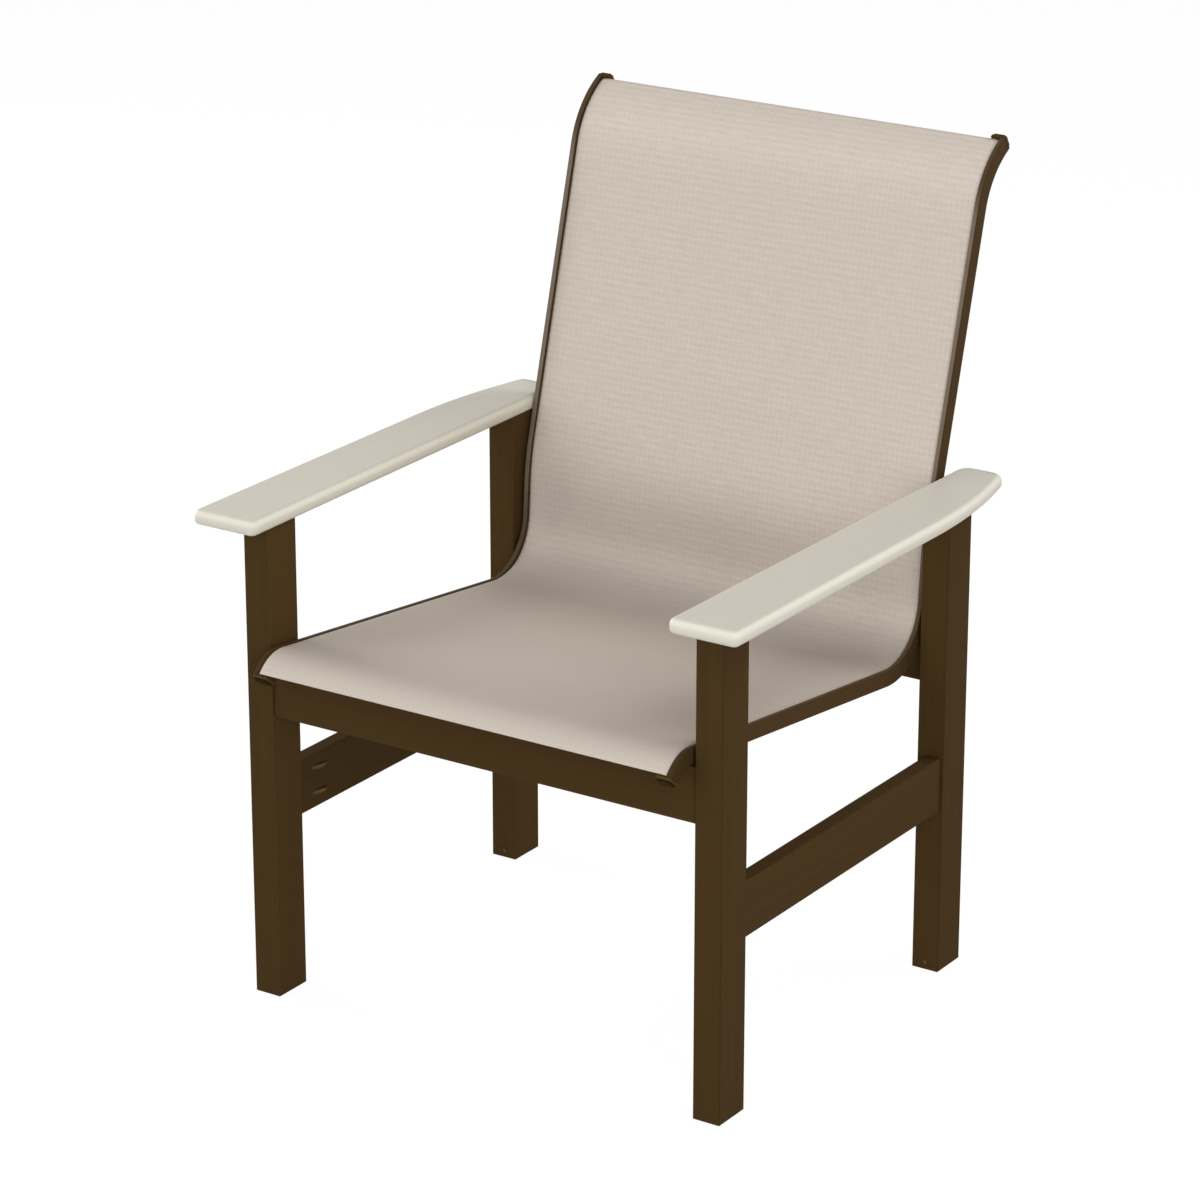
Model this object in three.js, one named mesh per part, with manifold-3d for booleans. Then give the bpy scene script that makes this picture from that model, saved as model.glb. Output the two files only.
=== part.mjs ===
// Sling patio chair: four posts, two side stretchers, two cross rails and two arm boards of solid
// lumber-look plastic, with a woven sling held between two bent aluminium rails.
// Millimetres, +Z up. The front of the chair faces -Y, and +X is the sitter's left.
import * as THREE from "three";
import { mergeVertices } from "three/addons/utils/BufferGeometryUtils.js";
import Module from "manifold-3d";

const wasm = await Module();
wasm.setup();

// Clearances and facets that all pieces share
const fit = 0.3;
const cutOverrun = 2;
const weldDistance = 0.001;
const roundSides = 12;
const screwSides = 8;

// Posts
const frameWidth = 670;
const frameDepth = 560;
const postWidth = 36.5;
const postDepth = 54;
const armUnderside = 609;
const boardArris = 2.5;

// Glides under the posts
const glideProud = 0.8;
const glideRecess = 1.6;
const glideRadius = 11;
const glidePinRadius = 2.5;
const glidePinLength = 18;

// Side stretchers between the posts
const stretcherThickness = 20.5;
const stretcherHeight = 70;
const stretcherBottom = 216;
const stretcherSetIn = 3.6;

// Cross rails at the front and back of the seat
const crossRailThickness = 20.5;
const crossRailHeight = 69;
const crossRailSetIn = 4;

// Pocket holes and their screws at the ends of the stretchers and cross rails
const pocketAngle = THREE.MathUtils.degToRad(17);
const pocketRadius = 4.6;
const pocketSeatToEnd = 22;
const pocketReach = 50;
const pocketSpacing = 33;
const pocketExitPastMiddle = 5.2;
const pocketScrewLength = 40;
const pocketScrewRadius = 2.1;
const pocketScrewHeadRadius = 4;
const pocketScrewHeadHeight = 2.6;

// Small hole low on the front of each rear post
const postHoleRadius = 3.1;
const postHoleDepth = 5;
const postHoleHeight = 10;

// Arm boards
const armThickness = 19;
const armRoundOver = 6;
const armFrontOverhang = 43;
const armRearOverhang = 46;
const armOuterOverhang = 43;
const armFrontInnerOverhang = 12;
const armToSlingRail = 2;
const armTaperRadius = 760;
const armTaperLength = 200;
const armFrontCorner = 9;
const armRearCorner = 19;

// Studs that tie the arm boards to the posts
const studRadius = 4;
const studInPost = 42;
const studInArm = 12;

// Sling rail section: a lip at the front, a spline channel under it and a hollow box behind
const railWidth = 20;
const railDepth = 20.5;
const railWall = 2;
const railCorner = 1.5;
const lipWidth = 6.4;
const lipDepth = 5.6;
const lipCorner = 0.9;
const slotGap = 2.2;
const channelWidth = 6.3;
const channelDepth = 6.6;

// Sling rail profile from the front tip to the top, seen from the side
const seatCornerOverhang = 23.2;
const seatCornerHeight = 462.8;
const frontDropLength = 28.9;
const frontDropAngle = THREE.MathUtils.degToRad(52.3);
const seatBackInFromRear = 46;
const seatFallAngle = THREE.MathUtils.degToRad(6.2);
const lowerBackLength = 145.1;
const lowerBackLean = THREE.MathUtils.degToRad(4.1);
const upperBackLength = 452.9;
const upperBackLean = THREE.MathUtils.degToRad(15.2);
const headLength = 54.4;
const headLean = THREE.MathUtils.degToRad(59.3);
const frontBendRadius = 52.3;
const seatBendRadius = 70;
const lumbarBendRadius = 310;
const headBendRadius = 118;
const bendStep = THREE.MathUtils.degToRad(9);

// Sling, its splines and the rail end caps
const slingThickness = 1.2;
const slingRise = 3;
const slingRiseWidth = 9;
const slingToRailEnd = 1.8;
const splineRadius = 2.6;
const capThickness = 3.2;
const capProud = 0.4;
const capPlugLength = 5;

// Bolts and spacers that hang the sling rails on the posts
const spacerThickness = 5;
const spacerRadius = 5;
const boltRadius = 2.5;
const boltInPost = 24;
const boltHeadRadius = 4.6;
const boltHeadHeight = 2.8;
const frontBoltBehindPostMiddle = 10;
const rearBoltHeightShare = 0.467;

// Spreader bars across the sling rails
const spreaderWidth = 25;
const spreaderBarThickness = 3;
const spreaderRibDepth = 12;
const spreaderEdge = 4;
const seatSpreaderBehindFront = 125;
const backSpreaderBelowTop = 165;
const spreaderScrewRadius = 2.1;
const spreaderScrewLength = 11;
const spreaderScrewHeadRadius = 4;
const spreaderScrewHeadHeight = 2.4;
const socketRadius = 1.5;
const socketDepth = 1.4;

// Places worked out from the sizes above
const slingRailOuter = frameWidth / 2 - postWidth - spacerThickness - 2 * fit;
const postBottom = glideProud + fit;
const postTop = armUnderside - fit;
const postX = (frameWidth - postWidth) / 2;
const postY = (frameDepth - postDepth) / 2;
const slotBack = lipDepth + slotGap;
const channelBack = lipDepth + channelDepth;
const channelInner = railWall + channelWidth;
const boxFront = slotBack + railWall;
const boltDepth = channelBack + boltRadius + 2 * fit;
const seatCornerY = -frameDepth / 2 - seatCornerOverhang;
const seatBackY = frameDepth / 2 - seatBackInFromRear;
const seatLength = (seatBackY - seatCornerY) / Math.cos(seatFallAngle);

const brown = new THREE.MeshStandardMaterial({ color: 0x44341f, roughness: 0.55 });
const paleArm = new THREE.MeshStandardMaterial({ color: 0xc9c5b8, roughness: 0.5 });
const paintedRail = new THREE.MeshStandardMaterial({ color: 0x46371f, roughness: 0.35, metalness: 0.2 });
const blackPlastic = new THREE.MeshStandardMaterial({ color: 0x2d2313, roughness: 0.5 });
const sandFabric = new THREE.MeshStandardMaterial({ color: 0xc6baad, roughness: 0.9 });
const steel = new THREE.MeshStandardMaterial({ color: 0x9a9a98, roughness: 0.35, metalness: 1 });

const sides = [
  { name: "left", x: 1 },
  { name: "right", x: -1 },
];
const ends = [
  { name: "front", y: -1 },
  { name: "rear", y: 1 },
];

const chair = new THREE.Group();

// A mesh as a closed solid in the chair's frame
function asSolid(mesh) {
  mesh.updateMatrixWorld(true);
  const bare = mesh.geometry.clone().applyMatrix4(mesh.matrixWorld);
  bare.deleteAttribute("normal");
  bare.deleteAttribute("uv");
  const welded = mergeVertices(bare, weldDistance);
  return new wasm.Manifold(
    new wasm.Mesh({
      numProp: 3,
      vertProperties: welded.attributes.position.array,
      triVerts: new Uint32Array(welded.index.array),
    }),
  );
}

// A solid as a mesh whose points are in the chair's frame
function asMesh(solid, material) {
  const { vertProperties, triVerts } = solid.getMesh();
  const geometry = new THREE.BufferGeometry();
  geometry.setAttribute("position", new THREE.BufferAttribute(new Float32Array(vertProperties), 3));
  geometry.setIndex(new THREE.BufferAttribute(new Uint32Array(triVerts), 1));
  geometry.computeVertexNormals();
  return new THREE.Mesh(geometry, material);
}

function carve(mesh, cutters) {
  const carved = cutters.reduce((solid, cutter) => solid.subtract(asSolid(cutter)), asSolid(mesh));
  return asMesh(carved, mesh.material);
}

function joined(meshes) {
  const whole = meshes.slice(1).reduce((solid, mesh) => solid.add(asSolid(mesh)), asSolid(meshes[0]));
  return asMesh(whole, meshes[0].material);
}

function add(name, mesh) {
  mesh.name = name;
  chair.add(mesh);
  return mesh;
}

// Turns a mesh so that its own Y axis points along a direction, and puts it at a point
function aim(mesh, point, direction) {
  mesh.position.copy(point);
  mesh.quaternion.setFromUnitVectors(new THREE.Vector3(0, 1, 0), direction.clone().normalize());
  return mesh;
}

// A round bar from a point along a direction
function rod(radius, length, point, direction, material = steel) {
  const geometry = new THREE.CylinderGeometry(radius, radius, length, roundSides);
  geometry.translate(0, length / 2, 0);
  return aim(new THREE.Mesh(geometry, material), point, direction);
}

// A screw whose head sits on a point, with its shank along a direction
function screw(size, point, direction, material = steel) {
  const { headRadius, headHeight, radius, length } = size;
  const profile = [
    new THREE.Vector2(0, -headHeight + socketDepth),
    new THREE.Vector2(socketRadius, -headHeight + socketDepth),
    new THREE.Vector2(socketRadius, -headHeight),
    new THREE.Vector2(headRadius - headHeight / 2, -headHeight),
    new THREE.Vector2(headRadius, -headHeight / 2),
    new THREE.Vector2(headRadius, 0),
    new THREE.Vector2(radius, 0),
    new THREE.Vector2(radius, length - radius),
    new THREE.Vector2(0, length),
  ];
  return aim(new THREE.Mesh(new THREE.LatheGeometry(profile, screwSides), material), point, direction);
}

// The hole that a screw of that size needs from its head's seat on
function screwHole(size, point, direction) {
  const start = point.clone().addScaledVector(direction, -cutOverrun);
  return rod(size.radius + fit, size.length + fit + cutOverrun, start, direction);
}

function roundedRectangle(width, height, radius) {
  const [x, y] = [width / 2, height / 2];
  const shape = new THREE.Shape();
  shape.absarc(x - radius, y - radius, radius, 0, Math.PI / 2);
  shape.absarc(radius - x, y - radius, radius, Math.PI / 2, Math.PI);
  shape.absarc(radius - x, radius - y, radius, Math.PI, 1.5 * Math.PI);
  shape.absarc(x - radius, radius - y, radius, 1.5 * Math.PI, 2 * Math.PI);
  return shape;
}

// A board of rounded section, centred on its length, which runs along Z, Y or X
function board(sectionX, sectionY, length, along, material = brown) {
  const geometry = new THREE.ExtrudeGeometry(roundedRectangle(sectionX, sectionY, boardArris), {
    depth: length,
    bevelEnabled: false,
    curveSegments: 2,
  });
  geometry.translate(0, 0, -length / 2);
  if (along === "y") geometry.rotateX(-Math.PI / 2);
  if (along === "x") geometry.rotateY(Math.PI / 2);
  return new THREE.Mesh(geometry, material);
}

// A path in the chair's middle plane: straight runs between corners, joined by arcs
class BentPath extends THREE.Curve {
  constructor(corners, radii) {
    super();
    this.stations = [];
    corners.forEach((corner, i) => {
      if (i === 0 || i === corners.length - 1) {
        const [from, to] = i === 0 ? [corner, corners[1]] : [corners[i - 1], corner];
        this.stations.push({ point: corner, tangent: to.clone().sub(from).normalize() });
        return;
      }
      this.addBend(corners[i - 1], corner, corners[i + 1], radii[i - 1]);
    });
  }
  addBend(before, corner, after, radius) {
    const enter = corner.clone().sub(before).normalize();
    const leave = after.clone().sub(corner).normalize();
    const turn = enter.angleTo(leave);
    const start = corner.clone().addScaledVector(enter, -radius * Math.tan(turn / 2));
    const axis = enter.clone().cross(leave).normalize();
    const centre = start.clone().addScaledVector(axis.clone().cross(enter), radius);
    const steps = Math.ceil(turn / bendStep);
    for (let i = 0; i <= steps; i++) {
      const angle = (turn * i) / steps;
      const point = start.clone().sub(centre).applyAxisAngle(axis, angle).add(centre);
      this.stations.push({ point, tangent: enter.clone().applyAxisAngle(axis, angle) });
    }
  }
  // The values of a station's vector at a share of the way through the stations
  between(key, t) {
    const place = t * (this.stations.length - 1);
    const i = Math.min(Math.floor(place), this.stations.length - 2);
    return this.stations[i][key].clone().lerp(this.stations[i + 1][key], place - i);
  }
  getPoint(t) {
    return this.between("point", t);
  }
  getTangent(t) {
    return this.between("tangent", t).normalize();
  }
  getPointAt(t) {
    return this.getPoint(t);
  }
  getTangentAt(t) {
    return this.getTangent(t);
  }
}

function inSideView(angle) {
  return new THREE.Vector3(0, Math.cos(angle), Math.sin(angle));
}

// The line of the sling rail's lip, lengthened at both ends
function slingPath(extra) {
  const seatCorner = new THREE.Vector3(0, seatCornerY, seatCornerHeight);
  const directions = [
    inSideView(frontDropAngle),
    inSideView(-seatFallAngle),
    inSideView(Math.PI / 2 - lowerBackLean),
    inSideView(Math.PI / 2 - upperBackLean),
    inSideView(Math.PI / 2 - headLean),
  ];
  const tip = seatCorner.clone().addScaledVector(directions[0], -frontDropLength - extra);
  const seatBack = seatCorner.clone().addScaledVector(directions[1], seatLength);
  const lumbar = seatBack.clone().addScaledVector(directions[2], lowerBackLength);
  const head = lumbar.clone().addScaledVector(directions[3], upperBackLength);
  const top = head.clone().addScaledVector(directions[4], headLength + extra);
  const radii = [frontBendRadius, seatBendRadius, lumbarBendRadius, headBendRadius];
  return { corners: [tip, seatCorner, seatBack, lumbar, head, top], directions, radii };
}

const railLine = slingPath(slingToRailEnd);
const railPath = new BentPath(railLine.corners, railLine.radii);
const slingLine = slingPath(0);
const clothPath = new BentPath(slingLine.corners, slingLine.radii);

function sweep(shape, path, material, curveSegments = 2) {
  const steps = path.stations.length - 1;
  const geometry = new THREE.ExtrudeGeometry(shape, { steps, extrudePath: path, curveSegments });
  return new THREE.Mesh(geometry, material);
}

// A point of the rail's section: inward from its outer side, and back from its lip
function inSection(side, inward, back) {
  return new THREE.Vector2(-side.x * (slingRailOuter - inward), -back);
}

function backFrom(direction) {
  return new THREE.Vector3(0, direction.z, -direction.y);
}

// A frame on the sling path: a straight run's place, with the back direction and the run's direction
function onRun(run, distance, back) {
  const along = railLine.directions[run];
  const behind = backFrom(along);
  const point = railLine.corners[run].clone().addScaledVector(along, distance);
  return { point: point.addScaledVector(behind, back), along, behind };
}

// The first point along the stations that passes a value along Y or Z, at a depth behind the lip
function passing(stations, axis, value, back) {
  const places = stations.map((station) => {
    return station.point.clone().addScaledVector(backFrom(station.tangent), back);
  });
  const next = places.findIndex((place, i) => {
    return i > 0 && (places[i - 1][axis] - value) * (place[axis] - value) <= 0;
  });
  const before = places[next - 1];
  const share = (value - before[axis]) / (places[next][axis] - before[axis]);
  return before.clone().lerp(places[next], share);
}
const frontFirst = railPath.stations;
const topFirst = [...railPath.stations].reverse();

// The seat run's underside gives the cross rails' height
const frontRailFrontY = -frameDepth / 2 + crossRailSetIn;
const crossRailTop = passing(frontFirst, "y", frontRailFrontY + crossRailThickness, railDepth).z - fit;
const crossRailBottom = crossRailTop - crossRailHeight;

const pocketScrew = {
  headRadius: pocketScrewHeadRadius,
  headHeight: pocketScrewHeadHeight,
  radius: pocketScrewRadius,
  length: pocketScrewLength,
};

// Two pocket screws at one end of a board: where they leave the board's end, and the way they run
function pocketScrews(name, endCentre, outward, inner) {
  const direction = outward.clone().multiplyScalar(Math.cos(pocketAngle));
  direction.addScaledVector(inner, -Math.sin(pocketAngle));
  return [
    { name: "upper", z: 1 },
    { name: "lower", z: -1 },
  ].map((row) => {
    const exit = endCentre.clone();
    exit.z += (row.z * pocketSpacing) / 2;
    exit.addScaledVector(inner, -pocketExitPastMiddle);
    const seat = exit.addScaledVector(direction, -pocketSeatToEnd);
    const fastener = add(`${name}_${row.name}_screw`, screw(pocketScrew, seat, direction));
    return {
      fastener,
      hole: screwHole(pocketScrew, seat, direction),
      pocket: rod(pocketRadius, pocketReach, seat, direction.clone().negate()),
    };
  });
}

// Every cut that the posts get, by post
const postCuts = { front_left: [], front_right: [], rear_left: [], rear_right: [] };

// Side stretchers, screwed to the posts from pockets in their inner faces
for (const side of sides) {
  const length = frameDepth - 2 * postDepth - 2 * fit;
  const x = side.x * (frameWidth / 2 - stretcherSetIn - stretcherThickness / 2);
  const z = stretcherBottom + stretcherHeight / 2;
  const blank = board(stretcherThickness, stretcherHeight, length, "y");
  blank.position.set(x, 0, z);
  const cuts = [];
  for (const end of ends) {
    const endCentre = new THREE.Vector3(x, (end.y * length) / 2, z);
    const outward = new THREE.Vector3(0, end.y, 0);
    const inner = new THREE.Vector3(-side.x, 0, 0);
    for (const part of pocketScrews(`${side.name}_stretcher_${end.name}`, endCentre, outward, inner)) {
      cuts.push(part.hole, part.pocket);
      postCuts[`${end.name}_${side.name}`].push(part.hole);
    }
  }
  add(`${side.name}_stretcher`, carve(blank, cuts));
}

// Cross rails, with their pockets on the side that faces the middle of the seat
for (const end of ends) {
  const length = frameWidth - 2 * postWidth - 2 * fit;
  const y = end.y * (frameDepth / 2 - crossRailSetIn - crossRailThickness / 2);
  const z = (crossRailTop + crossRailBottom) / 2;
  const blank = board(crossRailHeight, crossRailThickness, length, "x");
  blank.position.set(0, y, z);
  const cuts = [];
  for (const side of sides) {
    const endCentre = new THREE.Vector3((side.x * length) / 2, y, z);
    const outward = new THREE.Vector3(side.x, 0, 0);
    const inner = new THREE.Vector3(0, -end.y, 0);
    for (const part of pocketScrews(`${end.name}_rail_${side.name}`, endCentre, outward, inner)) {
      cuts.push(part.hole, part.pocket);
      postCuts[`${end.name}_${side.name}`].push(part.hole);
    }
  }
  add(`${end.name}_cross_rail`, carve(blank, cuts));
}

// Sling rail section: a lip at the front, then a slot into the spline channel, and a hollow behind
function railSection(side) {
  const outline = [
    [railCorner, 0],
    [lipWidth - lipCorner, 0],
    [lipWidth, lipCorner],
    [lipWidth, lipDepth],
    [railWall, lipDepth],
    [railWall, channelBack],
    [channelInner, channelBack],
    [channelInner, slotBack],
    [railWidth - railCorner, slotBack],
    [railWidth, slotBack + railCorner],
    [railWidth, railDepth - railCorner],
    [railWidth - railCorner, railDepth],
    [railCorner, railDepth],
    [0, railDepth - railCorner],
    [0, railCorner],
  ];
  const hollow = [
    [railWall, railDepth - railWall],
    [railWidth - railWall, railDepth - railWall],
    [railWidth - railWall, boxFront],
    [channelInner + railWall, boxFront],
    [channelInner + railWall, channelBack + railWall],
    [railWall, channelBack + railWall],
  ];
  const shape = new THREE.Shape(outline.map(([inward, back]) => inSection(side, inward, back)));
  shape.holes.push(new THREE.Path(hollow.map(([inward, back]) => inSection(side, inward, back))));
  return shape;
}

const railBolt = {
  headRadius: boltHeadRadius,
  headHeight: boltHeadHeight,
  radius: boltRadius,
  length: railWidth + spacerThickness + 3 * fit + boltInPost,
};
const spreaderScrew = {
  headRadius: spreaderScrewHeadRadius,
  headHeight: spreaderScrewHeadHeight,
  radius: spreaderScrewRadius,
  length: spreaderScrewLength,
};
const railCuts = { left: [], right: [] };

// Bolts and spacers that carry each sling rail between the posts
const seatBackHeight = railLine.corners[2].z;
const rearBoltHeight = seatBackHeight + (armUnderside - seatBackHeight) * rearBoltHeightShare;
const boltPlaces = {
  front: passing(frontFirst, "y", frontBoltBehindPostMiddle - postY, boltDepth),
  rear: passing(topFirst, "z", rearBoltHeight, boltDepth),
};
for (const side of sides) {
  for (const end of ends) {
    const outward = new THREE.Vector3(side.x, 0, 0);
    const head = boltPlaces[end.name].clone();
    head.x = side.x * (slingRailOuter - railWidth - fit);
    add(`${side.name}_rail_${end.name}_bolt`, screw(railBolt, head, outward));
    const hole = screwHole(railBolt, head, outward);
    railCuts[side.name].push(hole);
    postCuts[`${end.name}_${side.name}`].push(hole);
    const spacerStart = head.clone();
    spacerStart.x = side.x * (slingRailOuter + fit);
    const blank = rod(spacerRadius, spacerThickness, spacerStart, outward, blackPlastic);
    add(`${side.name}_rail_${end.name}_spacer`, carve(blank, [hole]));
  }
}

// Spreader bars: a flat bar across the rails' backs, with a rib between the rails
function spreader(name, place) {
  const { point, along, behind } = place;
  const turned = new THREE.Matrix4().makeBasis(new THREE.Vector3(1, 0, 0), behind, along);
  const barLength = 2 * (slingRailOuter - spreaderEdge);
  const ribLength = 2 * (slingRailOuter - railWidth - fit);
  const bar = new THREE.BoxGeometry(barLength, spreaderBarThickness, spreaderWidth);
  bar.translate(0, fit + spreaderBarThickness / 2, 0);
  const rib = new THREE.BoxGeometry(ribLength, spreaderRibDepth, spreaderWidth);
  rib.translate(0, fit + spreaderBarThickness / 2 - spreaderRibDepth / 2, 0);
  const blanks = [bar, rib].map((geometry) => {
    const mesh = new THREE.Mesh(geometry.applyMatrix4(turned), paintedRail);
    mesh.position.copy(point);
    return mesh;
  });
  const holes = [];
  for (const side of sides) {
    const head = point.clone().addScaledVector(behind, 2 * fit + spreaderBarThickness);
    head.x = side.x * (slingRailOuter - (channelInner + railWidth) / 2);
    const inward = behind.clone().negate();
    add(`${name}_${side.name}_screw`, screw(spreaderScrew, head, inward));
    const hole = screwHole(spreaderScrew, head, inward);
    holes.push(hole);
    railCuts[side.name].push(hole);
  }
  add(name, carve(joined(blanks), holes));
}
const seatRunFront = onRun(1, seatSpreaderBehindFront, railDepth);
const topStart = railLine.corners[4].distanceTo(railLine.corners[3]);
const backRunTop = onRun(3, topStart + headLength - backSpreaderBelowTop, railDepth);
spreader("seat_spreader", seatRunFront);
spreader("back_spreader", backRunTop);

// Sling rails, their splines and the caps that close their ends
function endCap(side, station, outwardSign) {
  const normal = new THREE.Vector3(-1, 0, 0);
  const turned = new THREE.Matrix4();
  turned.makeBasis(normal, station.tangent.clone().cross(normal), station.tangent);
  turned.setPosition(station.point);
  const plate = roundedRectangle(railWidth + 2 * capProud, railDepth + 2 * capProud, railCorner);
  const plug = [
    [channelInner + railWall + fit, boxFront + fit],
    [railWidth - railWall - fit, boxFront + fit],
    [railWidth - railWall - fit, railDepth - railWall - fit],
    [channelInner + railWall + fit, railDepth - railWall - fit],
  ].map(([inward, back]) => inSection(side, inward, back));
  const plateGeometry = new THREE.ExtrudeGeometry(plate, {
    depth: capThickness,
    bevelEnabled: false,
    curveSegments: 2,
  });
  const centre = inSection(side, railWidth / 2, railDepth / 2);
  const plateStart = outwardSign > 0 ? fit : -fit - capThickness;
  plateGeometry.translate(centre.x, centre.y, plateStart);
  const plugGeometry = new THREE.ExtrudeGeometry(new THREE.Shape(plug), {
    depth: capPlugLength + capThickness / 2,
    bevelEnabled: false,
  });
  const plugStart = outwardSign > 0 ? -capPlugLength + fit : -fit - capThickness / 2;
  plugGeometry.translate(0, 0, plugStart);
  const pieces = [plateGeometry, plugGeometry].map(
    (geometry) => new THREE.Mesh(geometry.applyMatrix4(turned), blackPlastic),
  );
  return joined(pieces);
}

for (const side of sides) {
  const rail = sweep(railSection(side), railPath, paintedRail);
  add(`${side.name}_sling_rail`, carve(rail, railCuts[side.name]));
  const channelCentre = inSection(side, (railWall + channelInner) / 2, (lipDepth + channelBack) / 2);
  const spline = new THREE.Shape();
  spline.absarc(channelCentre.x, channelCentre.y, splineRadius, 0, 2 * Math.PI);
  add(`${side.name}_spline`, sweep(spline, clothPath, blackPlastic, 4));
  const stations = railPath.stations;
  add(`${side.name}_front_cap`, endCap(side, stations[0], -1));
  add(`${side.name}_top_cap`, endCap(side, stations[stations.length - 1], 1));
}

// The woven sling: its edges lie in the spline slots and it rises a little between the rails
function slingSection() {
  const hemFront = lipDepth + (slotGap - slingThickness) / 2;
  const front = [
    [channelInner - 2 * fit, hemFront],
    [channelInner + slingThickness, hemFront],
    [lipWidth + slingRiseWidth, hemFront - slingRise],
  ];
  const rightFront = front.map(([inward, back]) => inSection(sides[1], inward, back));
  const leftFront = front.map(([inward, back]) => inSection(sides[0], inward, back)).reverse();
  const face = [...rightFront, ...leftFront];
  const rear = face.map((point) => new THREE.Vector2(point.x, point.y - slingThickness)).reverse();
  return new THREE.Shape([...face, ...rear]);
}
add("sling_fabric", sweep(slingSection(), clothPath, sandFabric));

// Arm boards: straight inside, curved in at the outer rear, rounded over all round
function armOutline(side) {
  const front = -frameDepth / 2 - armFrontOverhang;
  const rear = frameDepth / 2 + armRearOverhang;
  const outer = frameWidth / 2 + armOuterOverhang;
  const innerFront = frameWidth / 2 - postWidth - armFrontInnerOverhang;
  const innerRear = slingRailOuter + armToSlingRail;
  const [frontCorner, rearCorner, taper] = [armFrontCorner, armRearCorner, armTaperRadius];
  const taperStart = rear - armTaperLength;
  const turn = Math.asin((armTaperLength - rearCorner) / (taper - rearCorner));
  const rearCentre = outer - taper + (taper - rearCorner) * Math.cos(turn);
  const shape = new THREE.Shape();
  shape.absarc(outer - frontCorner, front + frontCorner, frontCorner, -Math.PI / 2, 0);
  shape.absarc(outer - taper, taperStart, taper, 0, turn);
  shape.absarc(rearCentre, rear - rearCorner, rearCorner, turn, Math.PI / 2);
  shape.absarc(innerRear + rearCorner, rear - rearCorner, rearCorner, Math.PI / 2, Math.PI);
  shape.absarc(innerFront + frontCorner, front + frontCorner, frontCorner, Math.PI, 1.5 * Math.PI);
  return new THREE.Shape(shape.getPoints(4).map((point) => point.setX(side.x * point.x)));
}

const studCuts = { left: [], right: [] };
for (const side of sides) {
  for (const end of ends) {
    const foot = new THREE.Vector3(side.x * postX, end.y * postY, armUnderside - studInPost);
    const up = new THREE.Vector3(0, 0, 1);
    add(`${end.name}_${side.name}_arm_stud`, rod(studRadius, studInPost + studInArm, foot, up));
    const holeFoot = foot.clone().addScaledVector(up, -fit);
    const hole = rod(studRadius + fit, studInPost + studInArm + 2 * fit, holeFoot, up);
    postCuts[`${end.name}_${side.name}`].push(hole);
    studCuts[side.name].push(hole);
  }
  const geometry = new THREE.ExtrudeGeometry(armOutline(side), {
    depth: armThickness - 2 * armRoundOver,
    bevelThickness: armRoundOver,
    bevelSize: armRoundOver,
    bevelOffset: -armRoundOver,
    bevelSegments: 4,
  });
  const blank = new THREE.Mesh(geometry, paleArm);
  blank.position.z = armUnderside + armRoundOver;
  add(`${side.name}_arm`, carve(blank, studCuts[side.name]));
}

// Posts and the glides pressed into their feet
for (const side of sides) {
  for (const end of ends) {
    const [x, y] = [side.x * postX, end.y * postY];
    const up = new THREE.Vector3(0, 0, 1);
    const floor = new THREE.Vector3(x, y, 0);
    const head = rod(glideRadius, glideProud + glideRecess, floor, up, blackPlastic);
    const pin = rod(glidePinRadius, glideProud + glideRecess + glidePinLength, floor, up);
    add(`${end.name}_${side.name}_glide`, joined([head, pin]));
    const recess = rod(glideRadius + fit, glideProud + glideRecess + fit, floor, up);
    const bore = rod(glidePinRadius + fit, glideProud + glideRecess + glidePinLength + fit, floor, up);
    const cuts = [...postCuts[`${end.name}_${side.name}`], recess, bore];
    if (end.name === "rear") {
      const mouth = new THREE.Vector3(x, y - postDepth / 2 - cutOverrun, postHoleHeight);
      cuts.push(rod(postHoleRadius, postHoleDepth + cutOverrun, mouth, new THREE.Vector3(0, 1, 0)));
    }
    const blank = board(postWidth, postDepth, postTop - postBottom, "z");
    blank.position.set(x, y, (postTop + postBottom) / 2);
    add(`${end.name}_${side.name}_post`, carve(blank, cuts));
  }
}

// The chair stands on the floor with its outline centred on the origin
const outline = new THREE.Box3().setFromObject(chair);
const middle = outline.getCenter(new THREE.Vector3());
chair.position.set(-middle.x, -middle.y, -outline.min.z);

export default chair;
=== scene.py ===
# Sling patio chair: brown lumber-look boards, pale arm boards and a woven sling between two bent
# aluminium rails. Metres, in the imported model's frame: the sitter faces -Y and +X is their left.
import math

import bmesh
import bpy
from mathutils import Matrix, Vector


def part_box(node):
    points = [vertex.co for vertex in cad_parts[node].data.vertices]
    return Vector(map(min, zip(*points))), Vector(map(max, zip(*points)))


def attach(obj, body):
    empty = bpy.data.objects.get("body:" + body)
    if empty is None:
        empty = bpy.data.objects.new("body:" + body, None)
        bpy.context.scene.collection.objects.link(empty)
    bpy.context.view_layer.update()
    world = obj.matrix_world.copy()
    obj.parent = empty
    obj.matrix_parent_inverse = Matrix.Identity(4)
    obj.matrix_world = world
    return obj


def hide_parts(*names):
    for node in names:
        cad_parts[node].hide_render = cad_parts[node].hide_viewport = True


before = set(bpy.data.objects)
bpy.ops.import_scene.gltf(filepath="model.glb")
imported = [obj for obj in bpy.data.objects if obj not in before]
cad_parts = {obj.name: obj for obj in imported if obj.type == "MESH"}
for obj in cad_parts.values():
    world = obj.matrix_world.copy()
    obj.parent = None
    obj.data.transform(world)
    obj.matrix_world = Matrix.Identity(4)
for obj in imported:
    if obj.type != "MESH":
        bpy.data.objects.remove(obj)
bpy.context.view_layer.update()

# Camera
# A long lens stands off the chair's front left corner, a little above the arms. It looks at the
# middle of the chair.
camera_azimuth = math.radians(33.61)
camera_elevation = math.radians(20.07)
camera_distance = 5.4474
camera_target = Vector((-0.01544, -0.0504, 0.4894))
camera_sensor_mm = 36
camera_lens_mm = 136.15


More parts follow.
